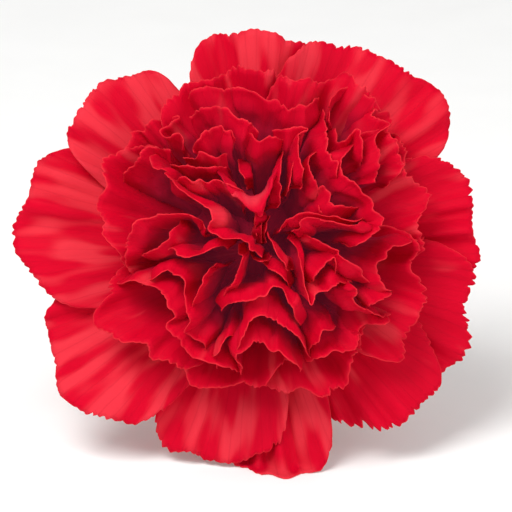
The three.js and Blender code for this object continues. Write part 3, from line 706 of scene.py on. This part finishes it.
def folded_petal(number, shape, rows):
    rise, *steepness, bends = shape
    n = 100 + number
    rough = through(bends, np.linspace(0, 1, 200))
    length = np.linalg.norm(np.diff(rough, axis=0), axis=1).sum()
    columns = int(np.clip(length / COLUMN, 24, 190))
    share = np.linspace(0, 1, columns)
    rim, calm = through(bends, share), drawn_smooth(bends, share)
    from_heart = calm - HEART_LEAN
    far = np.linalg.norm(from_heart, axis=1)
    out = unit(unit(from_heart) * np.minimum(far / 0.8, 1)[:, None] + 1e-4)
    v = np.clip(far / HEAD_RADIUS, 0.05, 1)
    claw = unit(0.6 * out[columns // 2] + 0.4 * out)
    across = unit(np.gradient(rim, axis=0))
    around = rim - HEART_LEAN
    turning = np.sign(np.sum(around[:-1, 0] * around[1:, 1] - around[:-1, 1] * around[1:, 0]))
    outer = np.stack([across[:, 1], -across[:, 0]], -1) * turning
    way = np.concatenate([[0], np.cumsum(np.linalg.norm(np.diff(rim, axis=0), axis=1))])
    ends = smooth(0, 3, way) * smooth(0, 3, way[-1] - way)
    height = (rim_up(v) + rise - RIM_DROP * (1 - ends) + 0.45 * np.sin(0.9 * way + 3 * n)
              - 0.6 * np.sqrt(np.linalg.norm(rim - calm, axis=1)))
    ripples = np.sin(1.3 * way + n) + 0.6 * np.sin(2.3 * way + 2 * n + np.sin(0.7 * way))
    wave = WAVE * (1 + np.sin(0.31 * way + 4 * n)) * ripples
    curl = CURL * (0.75 + 0.5 * np.sin(0.35 * way + 5 * n))
    edge = rim + out * (wave * ends)[:, None] - outer * curl[:, None]
    steep = np.radians(steepness[0] if steepness else 78 - 25 * v - 55 * v ** 5) + 0 * v
    ankle_out, ankle_up = ankle(v)
    flat = [claw * claw_out(v)[:, None], claw * ankle_out[:, None],
            edge - out * (FOLD_DEPTH * np.cos(steep))[:, None], edge]
    up = [0 * v, ankle_up, height - FOLD_DEPTH * np.sin(steep), height]
    points = [np.concatenate([place, level[:, None]], 1) for place, level in zip(flat, up)]
    s = np.linspace(0, 1, rows)[:, None] ** 0.8
    u = (s * (1 - RIM_TEETH * teeth_along(way, n) * smooth(0.6, 1, s)))[..., None]
    w = 1 - u
    grid = (w ** 3 * points[0] + 3 * u * w * w * points[1] + 3 * u * u * w * points[2]
            + u ** 3 * points[3])
    over = np.concatenate([outer * curl[:, None], -0.35 * curl[:, None]], 1)
    grid = grid + smooth(0.90, 1.0, u) * over
    to_rim = way_to_rim(grid)
    # Painted shade: darker deeper below the rim, fully from 9 mm down.
    kept = {"fan": 1.6 * way[None, :], "along": u[..., 0], "rim": to_rim, "tone": 0.3 * spread(n, 31),
            "shade": smooth(1.0, 9.0, to_rim)}
    return grid, kept


grid, kept = folded_petal(2, FOLDED[2], 41)
print("the longest rim has", grid.shape[1], "columns")

# %% [markdown]
# ## Pleats and thickness
#
# The last step is the same for every petal, so a Geometry Nodes tree does it: crumples that
# neighbouring petals share, long soft pleats that fan out from the claw, then a slab a quarter of
# a millimetre thick that thins to its rim.

# %% The petal tree
petal_tree, bench, wire = new_tree("petal_finish", {
    "Pleat Depth": 0.35, "Pleat Width": 3.0, "Thickness": 0.24, "Rim Thickness": 0.14,
    "Crumple Depth": 0.0, "Crumple Size": 5.0, "Seed": 3.0})


def named(bench, name):
    return bench.add("GeometryNodeInputNamedAttribute", {}, {"Name": name})


pleat_place = bench.vector(named(bench, "fan") / wire["Pleat Width"], named(bench, "along") * 1.6,
                           named(bench, "tone") * 50 + wire["Seed"])
grown_in = bench.step(0.35, 0.8, named(bench, "along"))
height = (bench.noise(pleat_place, 1.0, 1.5) - 0.5) * 2 * wire["Pleat Depth"] * grown_in
inner = bench.step(0.0, 2.5, named(bench, "rim"))
thick = wire["Rim Thickness"] + (wire["Thickness"] - wire["Rim Thickness"]) * inner
offset = bench.scaled(bench.add("GeometryNodeInputNormal"), height - thick * 0.5)
crumple_place = bench.scaled(bench.add("GeometryNodeInputPosition"), 1 / wire["Crumple Size"])
crumple = bench.noise(crumple_place, 1.0, 2.0, outlet=1)
shift = bench.scaled(bench.vector_maths("SUBTRACT", crumple, (0.5, 0.5, 0.5)),
                     wire["Crumple Depth"] * grown_in)
pleated = bench.moved(bench.moved(wire["Geometry"], shift), offset)
close_tree(bench, wire, slab(bench, pleated, thick))
print("petal_finish:", len(petal_tree.nodes), "nodes")

# %% [markdown]
# ## The bloom
#
# The petals are kept in a few pieces, from the guard ring to the heart, so that no piece grows too
# heavy. All of them stand for the one solid of petals in the CAD model.

# %% Petal pieces
def petal_piece(name, sheets, pleat_depth, pleat_width, crumple):
    piece = bake(name, sheets, petal_tree, {
        "Pleat Depth": pleat_depth, "Pleat Width": pleat_width, "Crumple Depth": crumple,
        "Material": petal_red})
    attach(piece, "root")
    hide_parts("petals")


for name, first, after, columns, pleat_depth, crumple_depth in (
        ("guard_petals_left", 0, 5, 190, 0.36, 0.6), ("guard_petals_right", 5, 10, 190, 0.36, 0.6),
        ("spreading_petals", 10, 18, 150, 0.25, 1.2)):
    petal_piece(name, [spreading_petal(n, columns, rows=34) for n in range(first, after)],
                pleat_depth, pleat_width=4.6, crumple=crumple_depth)
folded = [folded_petal(number, shape, rows=44) for number, shape in enumerate(FOLDED + TINY)]
for name, first, after in (("folded_petals_left", 0, 8), ("folded_petals_low", 8, 17),
                           ("folded_petals_right", 17, 28), ("heart_petals", 28, 49)):
    petal_piece(name, folded[first:after], pleat_depth=0.14, pleat_width=4.0, crumple=2.2)

# %% [markdown]
# ## What is packed under the petals
#
# The claws of sixty petals fill the calyx as one fluted bundle and spread above it into a packed
# dome, which closes every gap between the petals. A turned shape with flutes is enough here,
# because only slits of it show.

# %% Packed claws
def turned_sheet(profile, segments, flutes=0, depth=0.0):
    """Grid of points turned about the axis from (radius, height) pairs."""
    angle = np.linspace(0, 2 * math.pi, segments + 1)[None, :]
    radius = np.array([pair[0] for pair in profile])[:, None]
    height = np.array([pair[1] for pair in profile])[:, None]
    radius = radius * (1 - depth + depth * np.cos(flutes * angle) ** 2)
    return np.stack([radius * np.cos(angle), radius * np.sin(angle), height + 0 * angle], -1)


turned_tree, bench, wire = new_tree("closed_turning", {})
close_tree(bench, wire, bench.welded(wire["Geometry"]))

CLAW_PROFILE = [  # radius, height
    (0.001, -25.0), (3.5, -25.0), (4.6, -18.0), (5.4, -8.0), (5.75, 0.0), (6.5, 1.8), (8.6, 4.4),
    (10.0, 8.0), (12.0, 10.5), (11.5, 12.5), (8.0, 15.5), (4.0, 18.0), (0.001, 19.0)]
STEPS = 6              # finer steps between two points of the profile
fine_profile = []
for (r0, z0), (r1, z1) in zip(CLAW_PROFILE[:-1], CLAW_PROFILE[1:]):
    fine_profile += [(r0 + (r1 - r0) * k / STEPS, z0 + (z1 - z0) * k / STEPS) for k in range(STEPS)]
fine_profile.append(CLAW_PROFILE[-1])
grid = turned_sheet(fine_profile, 168, flutes=14, depth=0.06)
ones = np.ones(grid.shape[:2])
# Painted shade: the packed dome darkens from 3 mm above the calyx mouth, fully from 9 mm up.
kept = {"fan": ones * np.linspace(0, 360, grid.shape[1])[None, :], "tone": ones * 0.2, "rim": ones * 5,
        "along": smooth(-30, 12, grid[..., 2]) * 0.6, "shade": smooth(3, 9, grid[..., 2])}
claws = bake("packed_claws", [(grid, kept)], turned_tree, {"Material": petal_red})
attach(claws, "root")
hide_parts("petals")

# %% [markdown]
# ## Greens
#
# Stem, leaves and calyx share one look: a grey-green skin under a bloom of pale wax, which is
# thinner where it has been rubbed. Each gets its own pattern: nerves along the calyx, fine lines
# along the leaves, faint grooves on the stem. One function lays the wax and the skin, and each
# material hands it its own colours and relief.

# %% Green materials
def waxy_green(name, deep, fresh, wax, lines, line_depth, pale, pale_color):
    """lines(bench) gives a 0..1 pattern along the piece, pale(bench) where another colour shows.

    The other colour is a plain one or, on the cut end, a function that draws it."""
    material, bench = new_material(name)
    place = bench.place()
    cloud = bench.noise(place, 120.0, 4.0)
    rubbed = bench.noise(place, 420.0, 5.0, roughness=0.65)
    grain = bench.noise(place, 5200.0, 2.0)
    line = lines(bench)
    skin = bench.blend(bench.step(0.25, 0.75, cloud), deep, fresh)
    skin = bench.blend(line * 0.45, skin, tuple(0.6 * part for part in deep[:3]) + (1,))
    waxed = bench.step(0.34, 0.6, rubbed * 0.7 + cloud * 0.3)
    color = bench.blend(waxed * 0.3 + 0.22, skin, wax)
    if callable(pale_color):
        pale_color = pale_color(bench)
    color = bench.blend(pale(bench) * (0.65 + rubbed * 0.5), color, pale_color)
    bump = bench.bump(grain * 0.15 + rubbed * 0.3 + line * line_depth, 0.4, 0.00015)
    finish_material(bench, bench.add("ShaderNodeBsdfPrincipled", {}, {
        "Base Color": color, "Roughness": 0.48 + waxed * 0.2, "Specular IOR Level": 0.42,
        "Subsurface Weight": 0.08, "Subsurface Radius": (0.0012, 0.0016, 0.0006), "Normal": bump}))
    print(name + ":", len(material.node_tree.nodes), "nodes")
    return material


def wave_lines(name, period, sharp):
    """Fine lines at equal distances of one of the values kept on a piece."""
    def pattern(bench):
        wave = (bench.attribute(name) * (2 * math.pi / period)).maths("COSINE") * 0.5 + 0.5
        return wave ** sharp
    return pattern


calyx_green = waxy_green(
    "calyx_green", (0.13, 0.24, 0.055, 1), (0.24, 0.36, 0.09, 1), (0.36, 0.45, 0.24, 1),
    wave_lines("fan", 10.0, 3.0), 0.9,
    lambda bench: 1 - bench.step(0.0, 0.5, bench.attribute("rim")), (0.62, 0.60, 0.36, 1))
leaf_green = waxy_green(
    "leaf_green", (0.12, 0.22, 0.10, 1), (0.20, 0.31, 0.15, 1), (0.36, 0.44, 0.33, 1),
    wave_lines("across", 0.52, 2.0), 0.7,
    lambda bench: 1 - bench.step(0.0, 0.28, bench.attribute("rim")), (0.42, 0.50, 0.34, 1))

# %% [markdown]
# ## Calyx
#
# Five sepals have grown together into a tube with five pointed teeth and fine nerves from base to
# tip. Its shape follows a rule, so Geometry Nodes draw it: a flat grid is rolled up, each point's
# place between base and toothed rim is worked out from its angle, a curve gives the radius at each
# height, and the wall is pushed inwards as a slab.

# %% Calyx tree
CALYX_LENGTH = 27.0
TOOTH_LENGTH = 5.5
CALYX_PROFILE = [(-27, 4.5), (-24, 5.0), (-18, 5.9), (-8, 6.7), (1, 7.1)]  # height, radius


def girth_at(bench, height, profile, most):
    """The radius at a height, from a smooth curve through (height, radius) pairs."""
    start, total = profile[0][0], profile[-1][0] - profile[0][0]
    return bench.add("ShaderNodeFloatCurve",
                     {"curve": [((z - start) / total, radius / most) for z, radius in profile]},
                     {"Value": (height - start) / total}) * most


calyx_tree, bench, wire = new_tree("toothed_tube", {
    "Length": CALYX_LENGTH, "Teeth": 5, "Tooth Length": TOOTH_LENGTH, "Wall": 0.62, "Nerves": 35,
    "Nerve Depth": 0.09})
tube = bench.add("GeometryNodeMeshGrid", {}, {
    "Size X": 1.0, "Size Y": 1.0, "Vertices X": 421, "Vertices Y": 64})
where = bench.add("GeometryNodeInputPosition")
around = bench.part(where, "X") * (-2 * math.pi)
rise = bench.part(where, "Y") + 0.5
turn = (around * (1 / (2 * math.pi)) - 0.25) * wire["Teeth"]
tip = ((turn.maths("FRACT") - 0.5).maths("ABSOLUTE") * 2) ** 1.15
rim_height = (tip - 1) * wire["Tooth Length"]
height = rise * (rim_height + wire["Length"]) - wire["Length"]
girth = girth_at(bench, height, CALYX_PROFILE, 8.0)
nerve = (around * wire["Nerves"]).maths("COSINE") * 0.5 + 0.5
radius = girth - nerve * wire["Nerve Depth"] * bench.step(0.0, 0.1, rise)
rolled = bench.vector(radius * around.maths("COSINE"), radius * around.maths("SINE"), height)
for name, value in (("fan", around * (180 / math.pi)), ("rim", (rim_height - height) * 0.8)):
    tube = bench.add("GeometryNodeStoreNamedAttribute", {}, {
        "Geometry": tube, "Name": name, "Value": value})
tube = bench.add("GeometryNodeSetPosition", {}, {"Geometry": tube, "Position": rolled})
close_tree(bench, wire, slab(bench, bench.welded(tube), wire["Wall"] * -1))
print("toothed_tube:", len(calyx_tree.nodes), "nodes")


# %% Calyx
def green_piece(piece, node):
    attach(piece, "root")
    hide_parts(node)


def calyx_radius(height):
    return np.interp(height, [pair[0] for pair in CALYX_PROFILE], [pair[1] for pair in CALYX_PROFILE])


green_piece(bake("calyx_tube", SEED, calyx_tree, {"Material": calyx_green}), "calyx")

# %% [markdown]
# ## Bracts and leaves
#
# Two pairs of short scales clasp the foot of the calyx, and one pair of narrow leaves stands at
# the joint of the stem. Each is a sheet drawn from a simple outline; the tree that gives them
# their thickness thins them towards their edges, as the petals' tree does.

# %% Bracts
def draw_bract(angle, length, lift):
    rows, columns = 36, 41
    s = np.linspace(0, 1, rows)[:, None]
    t = np.linspace(-1, 1, columns)[None, :]
    height = -CALYX_LENGTH + 0.3 + length * s * (1 - 0.12 * t * t * (1 - s))
    turn = angle + t * math.radians(50) * np.clip(1 - s, 0, 1) ** 0.6 * (1 - 0.08 * s) + t * 0.015
    radius = calyx_radius(height) + lift + 0.7 * s ** 4 - 0.05 * np.abs(t) ** 3
    grid = np.stack([radius * np.cos(turn), radius * np.sin(turn), height], -1)
    edge = (1 - np.abs(t)) * 4 * (1 - s) ** 0.6 + 0.02
    return grid, {"fan": np.degrees(turn), "rim": np.minimum(edge, (1 - s) * length)}


scale_tree, bench, wire = new_tree("thin_to_edge", {
    "Thickness": 0.6, "Edge Thickness": 0.25, "Edge Width": 1.2})
thick = wire["Edge Thickness"] + (wire["Thickness"] - wire["Edge Thickness"]) * bench.step(
    0.0, 1.0, named(bench, "rim") / wire["Edge Width"])
inward = bench.scaled(bench.add("GeometryNodeInputNormal"), thick * -0.5)
close_tree(bench, wire, slab(bench, bench.moved(wire["Geometry"], inward), thick))

bracts = [draw_bract(math.radians(angle), length, lift)
          for angle, length, lift in ((0, 9, 0.1), (180, 9, 0.1), (90, 7.5, 0.55), (270, 7.5, 0.55))]
green_piece(bake("bracts", bracts, scale_tree, {"Material": calyx_green}), "calyx")

# %% Leaves
NODE_DEPTH = 66.0      # the joint of the stem below the calyx mouth
NODE_RADIUS = 3.1
CLEARANCE = 0.35       # gap between one piece and the next
STEM_SWAY = 1.6        # the most that the stem sways to the side
LEAF_LENGTH = 46.0
LEAF_WIDTH = 5.2


def stem_bend(height):
    return STEM_SWAY * smooth(CALYX_LENGTH + 10, 110, -height)


def draw_leaf(side):
    rows, columns = 150, 41
    s = np.linspace(0, 1, rows)[:, None]
    t = np.linspace(-1, 1, columns)[None, :]
    width = LEAF_WIDTH * (0.86 + 0.5 * s - 1.3 * s ** 3) * (1 - 0.35 * smooth(0.8, 1, s))
    width = width * (1 - 0.75 * smooth(0.985, 1, s))
    out = NODE_RADIUS + CLEARANCE + 0.4 + 15 * s ** 1.5 + 5 * smooth(0.6, 1, s)
    up = -NODE_DEPTH + 3 + LEAF_LENGTH * (s - 0.14 * s * s) - 4 * smooth(0.7, 1, s)
    keel = 0.9 * np.abs(t) ** 1.5 * (1 - 0.6 * s)
    wave = 0.5 * np.sin(5 * s + side) * s
    grid = np.stack([side * (out - keel) + stem_bend(up) + 0 * t, t * width / 2 + wave, up + 0 * t], -1)
    return grid, {"across": t * width / 2, "rim": (1 - np.abs(t)) * width / 2 + 0 * s}


SHEATH_PROFILE = [  # radius, height
    (3.08, -65.0), (4.1, -65.0), (4.25, -64.6), (4.25, -61.0), (4.1, -60.3), (3.6, -60.05),
    (2.6, -60.3), (3.08, -65.0)]
sheath = turned_sheet(SHEATH_PROFILE, 96)
sheath[..., 0] += stem_bend(sheath[..., 2])
ones = np.ones(sheath.shape[:2])
kept = {"across": ones * np.linspace(0, 26, sheath.shape[1])[None, :], "rim": ones * 2}
green_piece(bake("leaf_sheath", [(sheath, kept)], turned_tree, {"Material": leaf_green}),
            "leaf_pair")
green_piece(bake("leaves", [draw_leaf(1), draw_leaf(-1)], scale_tree, {
    "Thickness": 0.78, "Edge Thickness": 0.3, "Edge Width": 1.6, "Material": leaf_green}),
    "leaf_pair")

# %% [markdown]
# ## Stem
#
# The stem follows a path: a slightly bent line from the calyx to the cut end, swollen at the
# joint. Geometry Nodes sweep a circle along it, with one curve for its radius all the way down.
# The end is cut at a slant, and the cut shows a paler ring of fibres round a moist pith, which the
# material paints on the plane of the cut.

# %% Stem tree
STEM_RADIUS = 2.1
STEM_TOP = 1.6 - CALYX_LENGTH
STEM_BASE = -CALYX_LENGTH - CLEARANCE
STEM_END = -(MOUTH - STEM_RADIUS * math.cos(TILT)) / math.sin(TILT)
CUT_SLANT = 0.55       # how much further out the upper edge of the cut is, as a share of the radius
END_REACH = 0.12       # the last ring of points lies this near to the end, as the path sways
STEM_GIRTH = [  # height, radius
    (STEM_TOP, 3.4), (STEM_BASE + 0.42, 3.4), (STEM_BASE + 0.2, 4.45), (STEM_BASE - 1.2, 4.25),
    (STEM_BASE - 3.4, 2.85), (STEM_BASE - 7, 2.3), (-60, 2.1), (-63, 2.2), (-65.2, 3.05), (-67.2, 3.05),
    (-69.4, 2.1), (STEM_END, 2.08)]

stem_tree, bench, wire = new_tree("stalk", {
    "Top": STEM_TOP, "End": STEM_END, "Sway": STEM_SWAY, "Cut Slant": CUT_SLANT, "Sides": 64})
ends = [bench.vector(z=wire[name]) for name in ("Top", "End")]
line = bench.add("GeometryNodeCurvePrimitiveLine", {}, {"Start": ends[0], "End": ends[1]})
line = bench.add("GeometryNodeResampleCurve", {}, {"Curve": line, "Count": 260})
place = bench.add("GeometryNodeInputPosition")
depth = bench.part(place, "Z")
sway = bench.step(CALYX_LENGTH + 10, 110.0, depth * -1) * wire["Sway"]
round_line = bench.add("GeometryNodeCurvePrimitiveCircle", {}, {
    "Resolution": wire["Sides"], "Radius": 1.0})
swept = bench.add("GeometryNodeCurveToMesh", {}, {
    "Curve": bench.moved(line, bench.vector(sway)), "Profile Curve": round_line,
    "Scale": girth_at(bench, depth, STEM_GIRTH, 5.0), "Fill Caps": True})
last_ring = (depth - STEM_END - END_REACH).maths("LESS_THAN", 0.0)
slant = (bench.part(place, "Y") + STEM_RADIUS) * wire["Cut Slant"] * -0.5 * last_ring
close_tree(bench, wire, bench.moved(swept, bench.vector(z=slant)))
print("stalk:", len(stem_tree.nodes), "nodes")


# %% Stem material and stem
def cut_plane(bench):
    """1 on the plane of the cut and 0 along the skin."""
    normal = on_table(np.array([0, -CUT_SLANT / 2, -1.0])) - on_table(np.zeros(3))
    normal = normal / np.linalg.norm(normal)
    point = on_table(np.array([0, -STEM_RADIUS, STEM_END]))
    reach = bench.vector_maths("DOT_PRODUCT", bench.place(), normal.tolist(), outlet=1)
    return (reach - float(normal @ point) + END_REACH * MM).maths("GREATER_THAN", 0.0)


def cut_rings(bench):
    """A moist pith with a paler ring of fibres round it."""
    middle = on_table(np.array([stem_bend(STEM_END), 0, STEM_END - CUT_SLANT * STEM_RADIUS / 2]))
    out = bench.vector_maths("DISTANCE", bench.place(), middle.tolist(), outlet=1)
    ring = bench.step(0.9 * MM, 1.3 * MM, out) - bench.step(1.6 * MM, 1.9 * MM, out)
    return bench.blend(ring, (0.46, 0.56, 0.24, 1), (0.72, 0.74, 0.48, 1))


def stem_lines(bench):
    streak = bench.add("ShaderNodeMapping", {}, {
        "Vector": bench.place(), "Rotation": (-TILT, 0, 0), "Scale": (1, 0.03, 1)})
    return bench.noise(streak, 1500.0, 3.0)


stem_green = waxy_green(
    "stem_green", (0.10, 0.20, 0.055, 1), (0.20, 0.31, 0.10, 1), (0.36, 0.45, 0.27, 1),
    stem_lines, 0.5, cut_plane, cut_rings)
green_piece(bake("stalk", SEED, stem_tree, {"Material": stem_green}), "stem")

# %% [markdown]
# ## Pistil
#
# Ovary and styles are hidden in the bundle of claws. The CAD solid has their shape already, so it
# stays and only gets a finish: a smooth pale green with a little darker mottling.

# %% Pistil finish
pistil_green, bench = new_material("pistil_green")
mottle = bench.noise(bench.place(), 900.0, 3.0)
finish_material(bench, bench.add("ShaderNodeBsdfPrincipled", {}, {
    "Base Color": bench.blend(mottle, (0.42, 0.50, 0.22, 1), (0.70, 0.74, 0.45, 1)),
    "Roughness": 0.35 + mottle * 0.2, "Normal": bench.bump(mottle, 0.3, 0.0001)}))
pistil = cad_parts["pistil"]
pistil.data.materials.clear()
pistil.data.materials.append(pistil_green)

# %% [markdown]
# ## Table
#
# A plain pale surface, large enough to fill the picture.

# %% Table
table_paint, bench = new_material("table_paint")
fleck = bench.noise(bench.place(), 60.0, 3.0)
finish_material(bench, bench.add("ShaderNodeBsdfPrincipled", {}, {
    "Base Color": bench.blend(fleck, (0.90, 0.90, 0.89, 1), (0.94, 0.94, 0.93, 1)),
    "Roughness": 0.7 + fleck * 0.1}))
table_mesh = bpy.data.meshes.new("table")
table_mesh.from_pydata([(-4, -4, 0), (4, -4, 0), (4, 4, 0), (-4, 4, 0)], [], [(0, 1, 2, 3)])
table_mesh.materials.append(table_paint)
table = bpy.data.objects.new("table", table_mesh)
bpy.context.scene.collection.objects.link(table)
print("table laid")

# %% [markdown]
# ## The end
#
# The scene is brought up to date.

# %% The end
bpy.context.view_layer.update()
